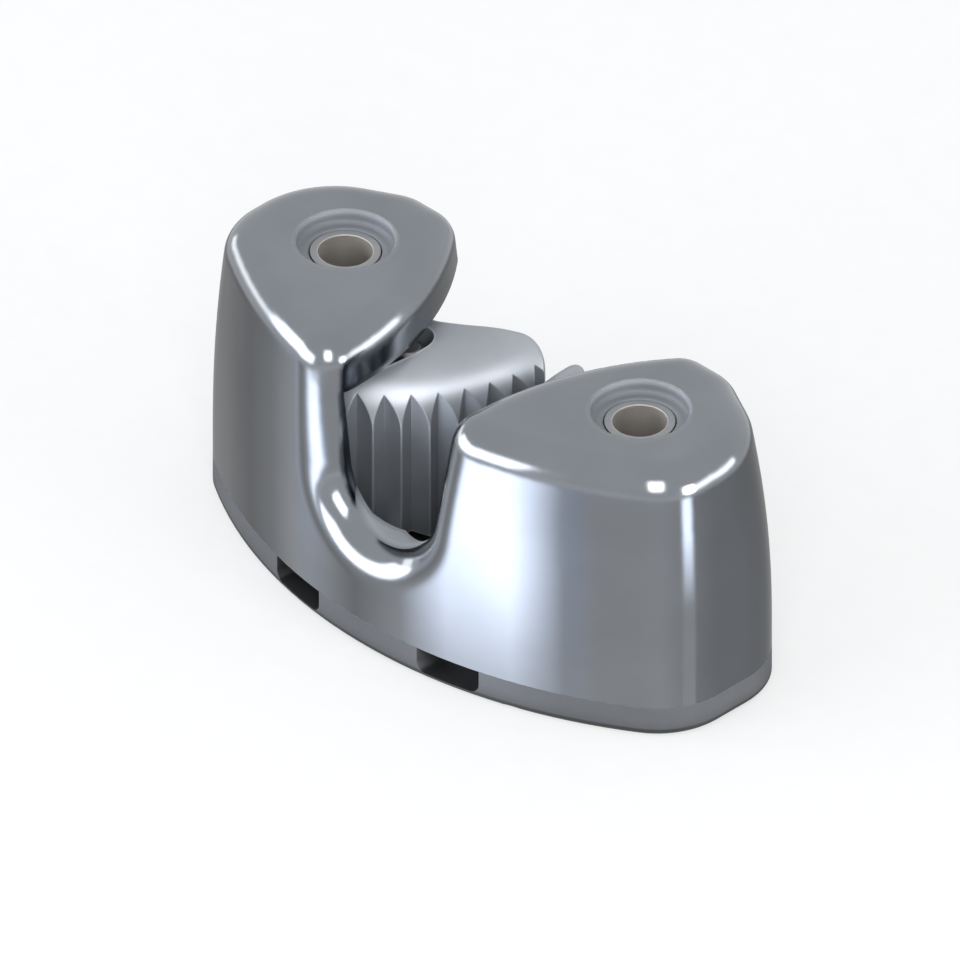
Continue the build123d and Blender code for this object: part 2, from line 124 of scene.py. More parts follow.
def polished_stainless_casting():
    """Cast stainless steel, ground and buffed: a mid grey mirror, with the faint waves that the
    buffing wheel leaves and a gloss that varies a little from stroke to stroke. The recess round each
    ring is left as it was counterbored, paler and matt. Where the rope runs, the floor of the mouth is
    matt, and it is painted paler too, painted light that lifts the shade in the mouth."""
    material, tree, shader = new_material("polished_stainless_casting")
    shader.inputs["Metallic"].default_value = 1.0
    place = add(tree, "ShaderNodeTexCoord").outputs["Object"]
    cloud = add(tree, "ShaderNodeTexNoise", {"Scale": 1 / (9.0 * MM), "Detail": 3.0}, {"Vector": place})
    grey = add(
        tree,
        "ShaderNodeValToRGB",
        {"stops": [(0.3, "#81858a"), (0.7, "#888c91")]},
        {"Fac": cloud.outputs["Fac"]},
    )
    stroke = add(tree, "ShaderNodeMapping", {"Scale": (1.0, 1.0, 0.25)}, {"Vector": place})
    buff = add(
        tree,
        "ShaderNodeTexNoise",
        {"Scale": 1 / (0.9 * MM), "Detail": 4.0},
        {"Vector": stroke.outputs["Vector"]},
    )
    gloss = add(
        tree,
        "ShaderNodeMapRange",
        {"To Min": 0.09, "To Max": 0.14},
        {"Value": buff.outputs["Fac"]},
    )
    recess = add(
        tree,
        "ShaderNodeMapRange",
        {"From Min": RECESS_FADE[0], "From Max": RECESS_FADE[1], "To Min": 0.25, "To Max": 0.0},
        {"Value": from_tower_axis(tree, place)},
    )
    rope = add(tree, "ShaderNodeVectorMath", {"operation": "SUBTRACT", 1: ROPE_PLACE}, {0: place})
    shares = add(
        tree,
        "ShaderNodeVectorMath",
        {"operation": "DIVIDE", 1: ROPE_REACH},
        {0: rope.outputs["Vector"]},
    )
    rope_distance = add(tree, "ShaderNodeVectorMath", {"operation": "LENGTH"}, {0: shares.outputs["Vector"]})
    # Painted light: the floor of the mouth is painted paler, lifting the shade there; the same mask makes it
    # matt
    mouth_wear_and_lift = add(
        tree,
        "ShaderNodeMapRange",
        {"From Min": 0.75, "From Max": 1.0, "To Min": 0.9, "To Max": 0.0},
        {"Value": rope_distance.outputs["Value"]},
    )
    matt = add(
        tree,
        "ShaderNodeMath",
        {"operation": "MAXIMUM"},
        {0: recess.outputs["Result"], 1: mouth_wear_and_lift.outputs["Result"]},
    )
    # The paler colour is the recess's own, and in the mouth it is painted light
    colour_with_painted_light = add(
        tree,
        "ShaderNodeMix",
        {"data_type": "RGBA", 7: linear("#b2b6ba")},
        {0: matt.outputs["Value"], 6: grey.outputs["Color"]},
    )
    rough = add(
        tree,
        "ShaderNodeMapRange",
        {"From Max": 0.25, "To Max": 0.7},
        {"Value": matt.outputs["Value"]},
    )
    finish = add(
        tree,
        "ShaderNodeMath",
        {"operation": "MAXIMUM"},
        {0: gloss.outputs["Result"], 1: rough.outputs["Result"]},
    )
    wave = add(tree, "ShaderNodeTexNoise", {"Scale": 1 / (5.0 * MM), "Detail": 1.0}, {"Vector": place})
    # The edge along the base is crisp, and the edges above it are buffed round
    spot = add(tree, "ShaderNodeSeparateXYZ", links={"Vector": place})
    softness = add(
        tree,
        "ShaderNodeMapRange",
        {"From Min": 4.5 * MM, "From Max": 7.0 * MM, "To Min": 0.05 * MM, "To Max": 0.9 * MM},
        {"Value": spot.outputs["Z"]},
    )
    edge = add(tree, "ShaderNodeBevel", {"samples": 6}, {"Radius": softness.outputs["Result"]})
    bump = add(
        tree,
        "ShaderNodeBump",
        {"Strength": 0.3, "Distance": 0.01 * MM},
        {"Height": wave.outputs["Fac"], "Normal": edge.outputs["Normal"]},
    )
    tree.links.new(colour_with_painted_light.outputs[2], shader.inputs["Base Color"])
    tree.links.new(finish.outputs["Value"], shader.inputs["Roughness"])
    tree.links.new(bump.outputs["Normal"], shader.inputs["Normal"])
    return material


def bead_blasted_aluminium():
    """Cast aluminium jaws, bead blasted and clear anodised: satin and slightly blue, with a fine grit.
    The crests of the teeth and the thin outer edges are painted pale, a painted highlight."""
    material, tree, shader = new_material("bead_blasted_aluminium")
    shader.inputs["Metallic"].default_value = 0.6
    place = add(tree, "ShaderNodeTexCoord").outputs["Object"]
    cloud = add(tree, "ShaderNodeTexNoise", {"Scale": 1 / (6.0 * MM), "Detail": 3.0}, {"Vector": place})
    grey = add(
        tree,
        "ShaderNodeValToRGB",
        {"stops": [(0.3, "#8a8e94"), (0.7, "#92969c")]},
        {"Fac": cloud.outputs["Fac"]},
    )
    grit = add(tree, "ShaderNodeTexNoise", {"Scale": 1 / (0.16 * MM), "Detail": 2.0}, {"Vector": place})
    gloss = add(
        tree,
        "ShaderNodeMapRange",
        {"To Min": 0.32, "To Max": 0.42},
        {"Value": grit.outputs["Fac"]},
    )
    edge = add(tree, "ShaderNodeBevel", {"samples": 6, "Radius": 0.16 * MM})
    bump = add(
        tree,
        "ShaderNodeBump",
        {"Strength": 0.3, "Distance": 0.01 * MM},
        {"Height": grit.outputs["Fac"], "Normal": edge.outputs["Normal"]},
    )
    # Measured inside the metal, occlusion is strong only along thin outer edges, and there the colour is
    # painted pale: a painted highlight along the crests and edges
    inside = add(tree, "ShaderNodeAmbientOcclusion", {"samples": 8, "inside": True, "Distance": 0.3 * MM})
    painted_crest_highlight = add(
        tree,
        "ShaderNodeMapRange",
        {"From Min": 0.55, "From Max": 0.85, "To Min": 0.8, "To Max": 0.0},
        {"Value": inside.outputs["AO"]},
    )
    colour_with_painted_light = add(
        tree,
        "ShaderNodeMix",
        {"data_type": "RGBA", 7: linear("#d4d8de")},
        {0: painted_crest_highlight.outputs["Result"], 6: grey.outputs["Color"]},
    )
    tree.links.new(colour_with_painted_light.outputs[2], shader.inputs["Base Color"])
    tree.links.new(gloss.outputs["Result"], shader.inputs["Roughness"])
    tree.links.new(bump.outputs["Normal"], shader.inputs["Normal"])
    return material


def turned_stainless():
    """Turned stainless tubes and pins: matt from the lathe, with fine rings round them. The bore
    is painted paler and a little warm, painted light that lifts the shade inside it."""
    material, tree, shader = new_material("turned_stainless")
    shader.inputs["Metallic"].default_value = 1.0
    place = add(tree, "ShaderNodeTexCoord").outputs["Object"]
    along = add(tree, "ShaderNodeMapping", {"Scale": (0.3, 0.3, 3.0)}, {"Vector": place})
    rings = add(
        tree,
        "ShaderNodeTexNoise",
        {"Scale": 1 / (0.5 * MM), "Detail": 2.0},
        {"Vector": along.outputs["Vector"]},
    )
    grey = add(
        tree,
        "ShaderNodeValToRGB",
        {"stops": [(0.3, "#989a9c"), (0.7, "#a0a2a4")]},
        {"Fac": rings.outputs["Fac"]},
    )
    # Painted light: inside the bore the colour is paler and warm, lifting the shade in the deep hole
    bore = add(
        tree,
        "ShaderNodeMapRange",
        {"From Min": BORE_FADE[0], "From Max": BORE_FADE[1], "To Min": 1.0, "To Max": 0.0},
        {"Value": from_tower_axis(tree, place)},
    )
    metal = add(
        tree,
        "ShaderNodeMix",
        {"data_type": "RGBA", 7: linear("#d4d0cb")},
        {0: bore.outputs["Result"], 6: grey.outputs["Color"]},
    )
    gloss = add(
        tree,
        "ShaderNodeMapRange",
        {"To Min": 0.5, "To Max": 0.6},
        {"Value": rings.outputs["Fac"]},
    )
    edge = add(tree, "ShaderNodeBevel", {"samples": 6, "Radius": 0.15 * MM})
    tree.links.new(metal.outputs[2], shader.inputs["Base Color"])
    tree.links.new(gloss.outputs["Result"], shader.inputs["Roughness"])
    tree.links.new(edge.outputs["Normal"], shader.inputs["Normal"])
    return material


def glass_filled_nylon():
    """Nylon with glass fibre, injection moulded: matt dark grey, with faint flow marks and a fine texture
    from the mould. It is painted darker in its hollows and everywhere below 0.6 mm, along the deck: painted
    shade."""
    material, tree, shader = new_material("glass_filled_nylon")
    shader.inputs["IOR"].default_value = 1.53
    place = add(tree, "ShaderNodeTexCoord").outputs["Object"]
    along = add(tree, "ShaderNodeMapping", {"Scale": (0.4, 1.0, 1.0)}, {"Vector": place})
    flow = add(
        tree,
        "ShaderNodeTexNoise",
        {"Scale": 1 / (4.0 * MM), "Detail": 4.0},
        {"Vector": along.outputs["Vector"]},
    )
    grey = add(
        tree,
        "ShaderNodeValToRGB",
        {"stops": [(0.3, "#434548"), (0.7, "#4a4c50")]},
        {"Fac": flow.outputs["Fac"]},
    )
    # Painted shade: occlusion within 4 mm darkens the colour in hollows
    hollow = add(tree, "ShaderNodeAmbientOcclusion", {"samples": 8, "Distance": 4.0 * MM})
    shade = add(
        tree,
        "ShaderNodeMapRange",
        {"From Min": 0.35, "From Max": 0.75, "To Min": 0.12, "To Max": 1.0},
        {"Value": hollow.outputs["AO"]},
    )
    spot = add(tree, "ShaderNodeSeparateXYZ", links={"Vector": place})
    # Painted shade: the colour is darkened below 0.6 mm
    deck_line = add(
        tree,
        "ShaderNodeMapRange",
        {"From Min": 0.6 * MM, "From Max": 0.75 * MM, "To Min": 0.1, "To Max": 1.0},
        {"Value": spot.outputs["Z"]},
    )
    unshaded_share = add(
        tree,
        "ShaderNodeMath",
        {"operation": "MULTIPLY"},
        {0: shade.outputs["Result"], 1: deck_line.outputs["Result"]},
    )
    painted_shade = add(
        tree,
        "ShaderNodeMix",
        {"data_type": "RGBA", 6: linear("#141618")},
        {0: unshaded_share.outputs["Value"], 7: grey.outputs["Color"]},
    )
    pits = add(tree, "ShaderNodeTexNoise", {"Scale": 1 / (0.22 * MM), "Detail": 2.0}, {"Vector": place})
    gloss = add(
        tree,
        "ShaderNodeMapRange",
        {"To Min": 0.45, "To Max": 0.6},
        {"Value": pits.outputs["Fac"]},
    )
    edge = add(tree, "ShaderNodeBevel", {"samples": 6, "Radius": 0.12 * MM})
    bump = add(
        tree,
        "ShaderNodeBump",
        {"Strength": 0.3, "Distance": 0.02 * MM},
        {"Height": pits.outputs["Fac"], "Normal": edge.outputs["Normal"]},
    )
    tree.links.new(painted_shade.outputs[2], shader.inputs["Base Color"])
    tree.links.new(gloss.outputs["Result"], shader.inputs["Roughness"])
    tree.links.new(bump.outputs["Normal"], shader.inputs["Normal"])
    return material


def white_acetal():
    """Turned acetal sleeves and washers: waxy off white, with faint rings from the lathe."""
    material, tree, shader = new_material("white_acetal")
    shader.inputs["IOR"].default_value = 1.48
    place = add(tree, "ShaderNodeTexCoord").outputs["Object"]
    along = add(tree, "ShaderNodeMapping", {"Scale": (0.3, 0.3, 3.0)}, {"Vector": place})
    rings = add(
        tree,
        "ShaderNodeTexNoise",
        {"Scale": 1 / (0.4 * MM), "Detail": 2.0},
        {"Vector": along.outputs["Vector"]},
    )
    white = add(
        tree,
        "ShaderNodeValToRGB",
        {"stops": [(0.3, "#d8d6cd"), (0.7, "#e2e0d8")]},
        {"Fac": rings.outputs["Fac"]},
    )
    gloss = add(
        tree,
        "ShaderNodeMapRange",
        {"To Min": 0.35, "To Max": 0.45},
        {"Value": rings.outputs["Fac"]},
    )
    tree.links.new(white.outputs["Color"], shader.inputs["Base Color"])
    tree.links.new(gloss.outputs["Result"], shader.inputs["Roughness"])
    return material


def drawn_spring_steel():
    """Stainless spring wire, drawn through a die: bright, with faint draw lines."""
    material, tree, shader = new_material("drawn_spring_steel")
    shader.inputs["Metallic"].default_value = 1.0
    place = add(tree, "ShaderNodeTexCoord").outputs["Object"]
    lines = add(tree, "ShaderNodeTexNoise", {"Scale": 1 / (0.3 * MM), "Detail": 2.0}, {"Vector": place})
    grey = add(
        tree,
        "ShaderNodeValToRGB",
        {"stops": [(0.3, "#9c9b97"), (0.7, "#aaa9a5")]},
        {"Fac": lines.outputs["Fac"]},
    )
    gloss = add(
        tree,
        "ShaderNodeMapRange",
        {"To Min": 0.2, "To Max": 0.32},
        {"Value": lines.outputs["Fac"]},
    )
    tree.links.new(grey.outputs["Color"], shader.inputs["Base Color"])
    tree.links.new(gloss.outputs["Result"], shader.inputs["Roughness"])
    return material


def zinc_plated_steel():
    """Cold headed steel screws, zinc plated: bright and slightly blue, with a cloudy plating."""
    material, tree, shader = new_material("zinc_plated_steel")
    shader.inputs["Metallic"].default_value = 1.0
    place = add(tree, "ShaderNodeTexCoord").outputs["Object"]
    cloud = add(tree, "ShaderNodeTexNoise", {"Scale": 1 / (0.7 * MM), "Detail": 3.0}, {"Vector": place})
    grey = add(
        tree,
        "ShaderNodeValToRGB",
        {"stops": [(0.3, "#a9adb2"), (0.7, "#bcc0c5")]},
        {"Fac": cloud.outputs["Fac"]},
    )
    gloss = add(
        tree,
        "ShaderNodeMapRange",
        {"To Min": 0.25, "To Max": 0.4},
        {"Value": cloud.outputs["Fac"]},
    )
    tree.links.new(grey.outputs["Color"], shader.inputs["Base Color"])
    tree.links.new(gloss.outputs["Result"], shader.inputs["Roughness"])
    return material


casting = polished_stainless_casting()
jaw_metal = bead_blasted_aluminium()
tube_metal = turned_stainless()
nylon = glass_filled_nylon()
acetal = white_acetal()
wire_steel = drawn_spring_steel()
screw_steel = zinc_plated_steel()

finish_of_node = {"housing": casting, "base_plate": nylon, "base_screws": screw_steel}
for side in ("left", "right"):
    finish_of_node[side + "_cam"] = jaw_metal
    finish_of_node[side + "_pivot_tube"] = tube_metal
    finish_of_node[side + "_stop_pin"] = tube_metal
    finish_of_node[side + "_bearing_sleeve"] = acetal
    finish_of_node[side + "_lower_washer"] = acetal
    finish_of_node[side + "_upper_washer"] = acetal
    finish_of_node[side + "_spring"] = wire_steel

for node, finish in finish_of_node.items():
    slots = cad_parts[node].data.materials
    slots.clear()
    slots.append(finish)


# Springs and screws, grown by Geometry Nodes


def new_tree(name, sizes):
    """An empty Geometry Nodes tree with named inputs for its sizes, and its group input node."""
    tree = bpy.data.node_groups.new(name, "GeometryNodeTree")
    tree.interface.new_socket("Geometry", in_out="INPUT", socket_type="NodeSocketGeometry")
    for label in sizes:
        tree.interface.new_socket(label, in_out="INPUT", socket_type="NodeSocketFloat")
    tree.interface.new_socket("Finish", in_out="INPUT", socket_type="NodeSocketMaterial")
    tree.interface.new_socket("Geometry", in_out="OUTPUT", socket_type="NodeSocketGeometry")
    return tree, add(tree, "NodeGroupInput")


def close_tree(tree, given, shapes):
    """Join the shapes, make instances real, give them the finish and end the tree."""
    joined = add(tree, "GeometryNodeJoinGeometry")
    for shape in shapes:
        tree.links.new(shape, joined.inputs["Geometry"])
    real = add(tree, "GeometryNodeRealizeInstances", links={"Geometry": joined.outputs["Geometry"]})
    finished = add(
        tree,
        "GeometryNodeSetMaterial",
        links={"Geometry": real.outputs["Geometry"], "Material": given.outputs["Finish"]},
    )
    add(tree, "NodeGroupOutput", links={"Geometry": finished.outputs["Geometry"]})


def grow(name, tree, values, points=()):
    """Run a tree once on some points, and give the result as an object with a plain mesh."""
    seed = bpy.data.meshes.new(name)
    seed.from_pydata([tuple(point) for point in points], [], [])
    piece = bpy.data.objects.new(name, seed)
    bpy.context.scene.collection.objects.link(piece)
    modifier = piece.modifiers.new(name, "NODES")
    modifier.node_group = tree
    for socket in tree.interface.items_tree:
        if socket.in_out == "INPUT" and socket.name in values:
            modifier[socket.identifier] = values[socket.name]
    view = bpy.context.evaluated_depsgraph_get()
    mesh = bpy.data.meshes.new_from_object(piece.evaluated_get(view), depsgraph=view)
    piece.modifiers.remove(modifier)
    piece.data = mesh
    return piece


def torsion_spring_tree():
    """A round wire coil with an upright leg at each end, one down into the base and one up into the jaw."""
    sizes = ("Centre X", "Low Z", "Turns", "Coil Radius", "Pitch", "Wire Radius", "Leg Down", "Leg Up")
    tree, given = new_tree("torsion_spring", sizes + ("Hand",))
    rise = add(
        tree,
        "ShaderNodeMath",
        {"operation": "MULTIPLY"},
        {0: given.outputs["Turns"], 1: given.outputs["Pitch"]},
    )
    left = add(tree, "FunctionNodeCompare", {"operation": "GREATER_THAN", 1: 0.0}, {0: given.outputs["Hand"]})
    coil = add(
        tree,
        "GeometryNodeCurveSpiral",
        {"Resolution": 32},
        {
            "Rotations": given.outputs["Turns"],
            "Start Radius": given.outputs["Coil Radius"],
            "End Radius": given.outputs["Coil Radius"],
            "Height": rise.outputs["Value"],
            "Reverse": left.outputs["Result"],
        },
    )
    # The left spring's coil starts towards +X and the right one's towards -X
    start_x = add(
        tree,
        "ShaderNodeMath",
        {"operation": "MULTIPLY"},
        {0: given.outputs["Coil Radius"], 1: given.outputs["Hand"]},
    )
    facing = add(
        tree,
        "ShaderNodeMapRange",
        {"From Min": -1.0, "From Max": 1.0, "To Min": math.pi, "To Max": 0.0},
        {"Value": given.outputs["Hand"]},
    )
    turn = add(tree, "ShaderNodeCombineXYZ", links={"Z": facing.outputs["Result"]})
    coil_placed = add(
        tree,
        "GeometryNodeTransform",
        links={"Geometry": coil.outputs["Curve"], "Rotation": turn.outputs["Vector"]},
    )
    back = add(
        tree, "ShaderNodeMath", {"operation": "MULTIPLY", 1: -1.0}, {0: given.outputs["Coil Radius"]}
    )
    under = add(tree, "ShaderNodeMath", {"operation": "MULTIPLY", 1: -1.0}, {0: given.outputs["Leg Down"]})
    over = add(
        tree,
        "ShaderNodeMath",
        {"operation": "ADD"},
        {0: rise.outputs["Value"], 1: given.outputs["Leg Up"]},
    )
    low_start = add(
        tree, "ShaderNodeCombineXYZ", links={"X": start_x.outputs["Value"], "Z": under.outputs["Value"]}
    )
    low_end = add(tree, "ShaderNodeCombineXYZ", links={"X": start_x.outputs["Value"]})
    high_start = add(
        tree, "ShaderNodeCombineXYZ", links={"Y": back.outputs["Value"], "Z": rise.outputs["Value"]}
    )
    high_end = add(
        tree, "ShaderNodeCombineXYZ", links={"Y": back.outputs["Value"], "Z": over.outputs["Value"]}
    )
    low_leg = add(
        tree,
        "GeometryNodeCurvePrimitiveLine",
        links={"Start": low_start.outputs["Vector"], "End": low_end.outputs["Vector"]},
    )
    high_leg = add(
        tree,
        "GeometryNodeCurvePrimitiveLine",
        links={"Start": high_start.outputs["Vector"], "End": high_end.outputs["Vector"]},
    )
    paths = add(tree, "GeometryNodeJoinGeometry")
    for path in (coil_placed.outputs["Geometry"], low_leg.outputs["Curve"], high_leg.outputs["Curve"]):
        tree.links.new(path, paths.inputs["Geometry"])
    section = add(
        tree,
        "GeometryNodeCurvePrimitiveCircle",
        {"Resolution": 16},
        {"Radius": given.outputs["Wire Radius"]},
    )
    wire = add(
        tree,
        "GeometryNodeCurveToMesh",
        {"Fill Caps": True},
        {"Curve": paths.outputs["Geometry"], "Profile Curve": section.outputs["Curve"]},
    )
    centre = add(
        tree,
        "ShaderNodeCombineXYZ",
        links={"X": given.outputs["Centre X"], "Z": given.outputs["Low Z"]},
    )
    placed = add(
        tree,
        "GeometryNodeTransform",
        links={"Geometry": wire.outputs["Mesh"], "Translation": centre.outputs["Vector"]},
    )
    smooth = add(tree, "GeometryNodeSetShadeSmooth", links={"Geometry": placed.outputs["Geometry"]})
    close_tree(tree, given, [smooth.outputs["Geometry"]])
    return tree


def pan_head_screw_tree():
    """A cross recessed pan head screw, head down, on each point. Sizes are measured up from the head."""
    sizes = ("Head Radius", "Head Height", "Rim Height", "Shank Radius", "Thread Radius", "Length", "Pitch")
    tree, given = new_tree("pan_head_screw", sizes + ("Slot Width", "Slot Length", "Slot Depth"))
    crown_radius = add(
        tree, "ShaderNodeMath", {"operation": "MULTIPLY", 1: 0.78}, {0: given.outputs["Head Radius"]}
    )
    crown_height = add(
        tree,
        "ShaderNodeMath",
        {"operation": "SUBTRACT"},
        {0: given.outputs["Head Height"], 1: given.outputs["Rim Height"]},
    )
    crown = add(
        tree,
        "GeometryNodeMeshCone",
        {"Vertices": 48},
        {
            "Radius Bottom": crown_radius.outputs["Value"],
            "Radius Top": given.outputs["Head Radius"],
            "Depth": crown_height.outputs["Value"],
        },
    )
    rim = add(
        tree,
        "GeometryNodeMeshCone",
        {"Vertices": 48},
        {
            "Radius Bottom": given.outputs["Head Radius"],
            "Radius Top": given.outputs["Head Radius"],
            "Depth": given.outputs["Rim Height"],
        },
    )
    rim_lift = add(tree, "ShaderNodeCombineXYZ", links={"Z": crown_height.outputs["Value"]})
    rim_placed = add(
        tree,
        "GeometryNodeTransform",
        links={"Geometry": rim.outputs["Mesh"], "Translation": rim_lift.outputs["Vector"]},
    )
    head = add(tree, "GeometryNodeMeshBoolean", {"operation": "UNION"})
    tree.links.new(crown.outputs["Mesh"], head.inputs["Mesh 2"])
    tree.links.new(rim_placed.outputs["Geometry"], head.inputs["Mesh 2"])
    twice = add(tree, "ShaderNodeMath", {"operation": "MULTIPLY", 1: 2.0}, {0: given.outputs["Slot Depth"]})
    bar = add(
        tree,
        "ShaderNodeCombineXYZ",
        links={
            "X": given.outputs["Slot Length"],
            "Y": given.outputs["Slot Width"],
            "Z": twice.outputs["Value"],
        },
    )
    slot_cut = add(tree, "GeometryNodeMeshCube", links={"Size": bar.outputs["Vector"]})
    slot_across = add(
        tree,
        "GeometryNodeTransform",
        {"Rotation": (0.0, 0.0, math.pi / 2)},
        {"Geometry": slot_cut.outputs["Mesh"]},
    )
    recessed = add(
        tree, "GeometryNodeMeshBoolean", {"operation": "DIFFERENCE"}, {"Mesh 1": head.outputs["Mesh"]}
    )
    tree.links.new(slot_cut.outputs["Mesh"], recessed.inputs["Mesh 2"])
    tree.links.new(slot_across.outputs["Geometry"], recessed.inputs["Mesh 2"])
    shank = add(
        tree,
        "GeometryNodeMeshCone",
        {"Vertices": 32},
        {
            "Radius Bottom": given.outputs["Shank Radius"],
            "Radius Top": given.outputs["Shank Radius"],
            "Depth": given.outputs["Length"],
        },
    )
    shank_lift = add(tree, "ShaderNodeCombineXYZ", links={"Z": given.outputs["Head Height"]})
    shank_placed = add(
        tree,
        "GeometryNodeTransform",
        links={"Geometry": shank.outputs["Mesh"], "Translation": shank_lift.outputs["Vector"]},
    )
    thread_run = add(
        tree, "ShaderNodeMath", {"operation": "MULTIPLY", 1: 0.85}, {0: given.outputs["Length"]}
    )
    thread_turns = add(
        tree,
        "ShaderNodeMath",
        {"operation": "DIVIDE"},
        {0: thread_run.outputs["Value"], 1: given.outputs["Pitch"]},
    )
    thread_path = add(
        tree,
        "GeometryNodeCurveSpiral",
        {"Resolution": 24, "Reverse": True},
        {
            "Rotations": thread_turns.outputs["Value"],
            "Start Radius": given.outputs["Shank Radius"],
            "End Radius": given.outputs["Shank Radius"],
            "Height": thread_run.outputs["Value"],
        },
    )
    thread_section = add(
        tree,
        "GeometryNodeCurvePrimitiveCircle",
        {"Resolution": 4},
        {"Radius": given.outputs["Thread Radius"]},
    )
    thread = add(
        tree,
        "GeometryNodeCurveToMesh",
        {"Fill Caps": True},
        {"Curve": thread_path.outputs["Curve"], "Profile Curve": thread_section.outputs["Curve"]},
    )
    thread_start = add(
        tree, "ShaderNodeMath", {"operation": "MULTIPLY", 1: 1.5}, {0: given.outputs["Head Height"]}
    )
    thread_lift = add(tree, "ShaderNodeCombineXYZ", links={"Z": thread_start.outputs["Value"]})
    thread_placed = add(
        tree,
        "GeometryNodeTransform",
        links={"Geometry": thread.outputs["Mesh"], "Translation": thread_lift.outputs["Vector"]},
    )
    screw = add(tree, "GeometryNodeJoinGeometry")
    for shape in (
        recessed.outputs["Mesh"],
        shank_placed.outputs["Geometry"],
        thread_placed.outputs["Geometry"],
    ):
        tree.links.new(shape, screw.inputs["Geometry"])
    placed = add(
        tree,
        "GeometryNodeInstanceOnPoints",
        links={"Points": given.outputs["Geometry"], "Instance": screw.outputs["Geometry"]},
    )
    close_tree(tree, given, [placed.outputs["Instances"]])
    return tree


spring_tree = torsion_spring_tree()
coil_low, coil_turns, coil_pitch = 4.65 * MM, 2.75, 1.0 * MM
for side, hand in (("left", 1.0), ("right", -1.0)):
    spring = grow(
        side + "_wire_spring",
        spring_tree,
        {
            "Centre X": -TOWER_X * hand,
            "Low Z": coil_low,
            "Turns": coil_turns,
            "Coil Radius": 5.2 * MM,
            "Pitch": coil_pitch,
            "Wire Radius": 0.4 * MM,
            "Leg Down": 2.39 * MM,
            "Leg Up": 1.99 * MM,
            "Hand": hand,
            "Finish": wire_steel,
        },
    )
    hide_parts(side + "_spring")
    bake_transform(spring)

# Each screw stands on a point in the base's underside, head down: three on the right and three on the left
screw_points = [
    (x * way * MM, y * MM, 0.3 * MM)
    for x, y in ((15.5, -11.9), (27.2, -5.6), (27.3, 5.2))
    for way in (1, -1)
]
cross_screws = grow(
    "cross_recess_screws",
    pan_head_screw_tree(),
    {
        "Head Radius": 1.88 * MM,
        "Head Height": 1.1 * MM,
        "Rim Height": 0.6 * MM,
        "Shank Radius": 0.82 * MM,
        "Thread Radius": 0.17 * MM,
        "Length": 7.85 * MM,
        "Pitch": 0.7 * MM,
        "Slot Width": 0.5 * MM,
        "Slot Length": 2.0 * MM,
        "Slot Depth": 0.6 * MM,
        "Finish": screw_steel,
    },
    screw_points,
)
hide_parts("base_screws")
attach(cross_screws, "frame")


# Studio: a pale floor, a pale surround, soft lamps and a glowing graded card for painted reflections


def pale_floor():
    """A large matt paper floor under the cleat. To the camera and in reflections it is mostly white, and
    it keeps the cleat's shadow."""
    material, tree, shader = new_material("matt_paper")
    shader.inputs["Roughness"].default_value = 0.9
    shader.inputs["Specular IOR Level"].default_value = 0.0
    place = add(tree, "ShaderNodeTexCoord").outputs["Object"]
    fibres = add(tree, "ShaderNodeTexNoise", {"Scale": 1 / (3.0 * MM), "Detail": 2.0}, {"Vector": place})
    white = add(
        tree,
        "ShaderNodeValToRGB",
        {"stops": [(0.3, "#d8d9da"), (0.7, "#dbdcdd")]},
        {"Fac": fibres.outputs["Fac"]},
    )
    tree.links.new(white.outputs["Color"], shader.inputs["Base Color"])
    rays = add(tree, "ShaderNodeLightPath")
    seen = add(
        tree,
        "ShaderNodeMath",
        {"operation": "MAXIMUM"},
        {0: rays.outputs["Is Camera Ray"], 1: rays.outputs["Is Glossy Ray"]},
    )
    shown = add(
        tree,
        "ShaderNodeMath",
        {"operation": "MAXIMUM"},
        {0: seen.outputs["Value"], 1: rays.outputs["Is Transmission Ray"]},
    )
    share = add(tree, "ShaderNodeMath", {"operation": "MULTIPLY", 1: 0.6}, {0: shown.outputs["Value"]})
    pale = add(tree, "ShaderNodeEmission", {"Strength": 0.95})
    mixed = add(
        tree,
        "ShaderNodeMixShader",
        links={0: share.outputs["Value"], 1: shader.outputs["BSDF"], 2: pale.outputs["Emission"]},
    )
    tree.links.new(mixed.outputs["Shader"], tree.nodes["Material Output"].inputs["Surface"])
    mesh = bpy.data.meshes.new("paper_floor")
    half = FLOOR_HALF_WIDTH
    corners = [(x * half, y * half, FLOOR_Z) for x, y in ((-1, -1), (1, -1), (1, 1), (-1, 1))]
    mesh.from_pydata(corners, [], [(0, 1, 2, 3)])
    mesh.materials.append(material)
    floor = bpy.data.objects.new("paper_floor", mesh)
    bpy.context.scene.collection.objects.link(floor)


def surround(colour, level):
    """A plain pale world."""
    world = bpy.data.worlds.new("pale_surround")
    bpy.context.scene.world = world
    world.use_nodes = True
    tree = world.node_tree
    tree.nodes.clear()
    sky = add(tree, "ShaderNodeBackground", {"Color": linear(colour), "Strength": level})
    add(tree, "ShaderNodeOutputWorld", links={"Surface": sky.outputs["Background"]})


def lamp(name, azimuth, elevation, distance, width, height, radiance, colour="#ffffff", only=None):
    """A soft rectangular lamp that looks at the cleat from an azimuth, counted from +X, and an elevation,
    both in degrees. Distance, width and height are in metres. It lights every piece, or only those of a
    collection, and the camera doesn't see it."""
    light = bpy.data.lights.new(name, "AREA")
    light.shape = "RECTANGLE"
    light.size = width
    light.size_y = height
    light.energy = radiance * math.pi * width * height
    light.color = linear(colour)[:3]
    body = bpy.data.objects.new(name, light)
    a, e = math.radians(azimuth), math.radians(elevation)
    way = Vector((math.cos(e) * math.cos(a), math.cos(e) * math.sin(a), math.sin(e)))
    body.location = way * distance + Vector((0, 0, 0.015))
    body.rotation_euler = way.to_track_quat("Z", "Y").to_euler()
    body.light_linking.receiver_collection = only
    body.visible_camera = False
    bpy.context.scene.collection.objects.link(body)


def between(stops, value):
    """Read a value from (place, level) stops, straight between them and level beyond them."""
    if value <= stops[0][0]:
        return stops[0][1]
    for (low, start), (high, end) in zip(stops, stops[1:]):
        if value <= high:
            return start + (end - start) * (value - low) / (high - low)
    return stops[-1][1]


